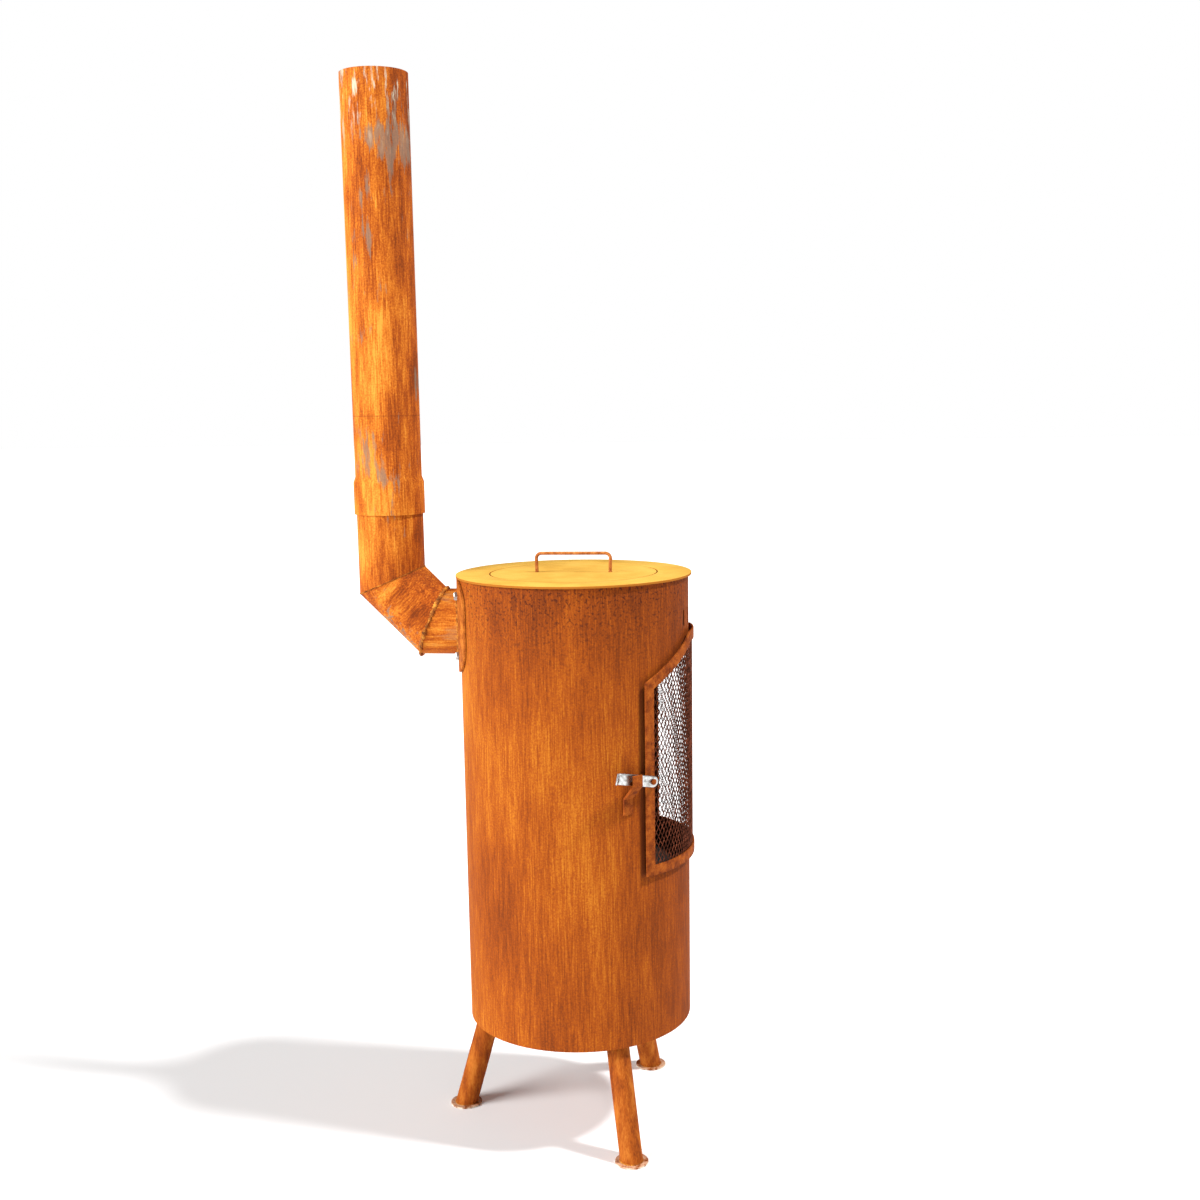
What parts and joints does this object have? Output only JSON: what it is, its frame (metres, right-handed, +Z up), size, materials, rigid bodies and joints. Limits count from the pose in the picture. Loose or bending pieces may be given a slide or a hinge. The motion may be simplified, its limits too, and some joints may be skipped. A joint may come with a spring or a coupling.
{
  "type": "rocket stove",
  "caption": "Weathering-steel drum stove on splayed legs, with a curved mesh door and latch lever, a loose lid in its flat top plate and a cranked flue with a lift-off chimney.",
  "frame": {"origin": "on the floor, at the middle of the footprint's bounding box", "axes": "+Z up, the mesh door faces -Y and the flue leaves the drum towards +Y"},
  "size_m": [0.4394, 0.5946, 1.8411],
  "materials": {
    "weathering_steel": "matt orange-brown rust",
    "dark_rusted_mesh": "dark matt rust",
    "rusted_rod": "matt rust",
    "cast_iron": "sooty, matt",
    "zinc_plated_steel": "bright zinc plate"
  },
  "bodies": {
    "stove": {"drum_shell": "weathering_steel", "base_plate": "weathering_steel", "top_plate": "weathering_steel", "lid_seat_ring": "weathering_steel", "leg_1": "weathering_steel", "leg_2": "weathering_steel", "leg_3": "weathering_steel", "foot_disc_1": "weathering_steel", "foot_disc_2": "weathering_steel", "foot_disc_3": "weathering_steel", "fire_floor_ring": "weathering_steel", "hinge_bracket_lower": "weathering_steel", "hinge_bracket_upper": "weathering_steel", "hinge_pin_lower": "zinc_plated_steel", "hinge_pin_upper": "zinc_plated_steel", "latch_keeper": "weathering_steel", "flue_flange": "weathering_steel", "flue_stub": "weathering_steel", "flue_bend": "weathering_steel", "flue_riser": "weathering_steel", "flange_bolt_1": "zinc_plated_steel", "flange_bolt_2": "zinc_plated_steel", "flange_bolt_3": "zinc_plated_steel", "flange_bolt_4": "zinc_plated_steel", "flange_nut_1": "zinc_plated_steel", "flange_nut_2": "zinc_plated_steel", "flange_nut_3": "zinc_plated_steel", "flange_nut_4": "zinc_plated_steel"},
    "lid": {"lid_plate": "weathering_steel", "lid_handle": "rusted_rod"},
    "grate": {"fire_grate": "cast_iron"},
    "door": {"door_frame": "weathering_steel", "door_mesh": "dark_rusted_mesh", "door_knuckle_lower": "weathering_steel", "door_knuckle_upper": "weathering_steel", "latch_spacer": "weathering_steel", "latch_rivet": "weathering_steel"},
    "latch": {"latch_lever": "zinc_plated_steel"},
    "chimney": {"chimney_pipe": "weathering_steel"}
  },
  "joints": [
    {"name": "lid_lift", "type": "slide", "parent": "stove", "child": "lid", "axis": [0, 0, 1], "range_m": [0, 0.3]},
    {"name": "grate_lift", "type": "slide", "parent": "stove", "child": "grate", "axis": [0, 0, 1], "range_m": [0, 0.25]},
    {"name": "door_hinge", "type": "hinge", "parent": "stove", "child": "door", "pos_m": [0.17617, -0.20174, 0.6665], "axis": [0, 0, 1], "range_deg": [0, 130]},
    {"name": "latch_turn", "type": "hinge", "parent": "door", "child": "latch", "pos_m": [-0.1554, -0.2382, 0.6665], "axis": [0.72, 0.694, 0], "range_deg": [0, 90]},
    {"name": "chimney_lift", "type": "slide", "parent": "stove", "child": "chimney", "axis": [0, 0, 1], "range_m": [0, 0.3]}
  ]
}
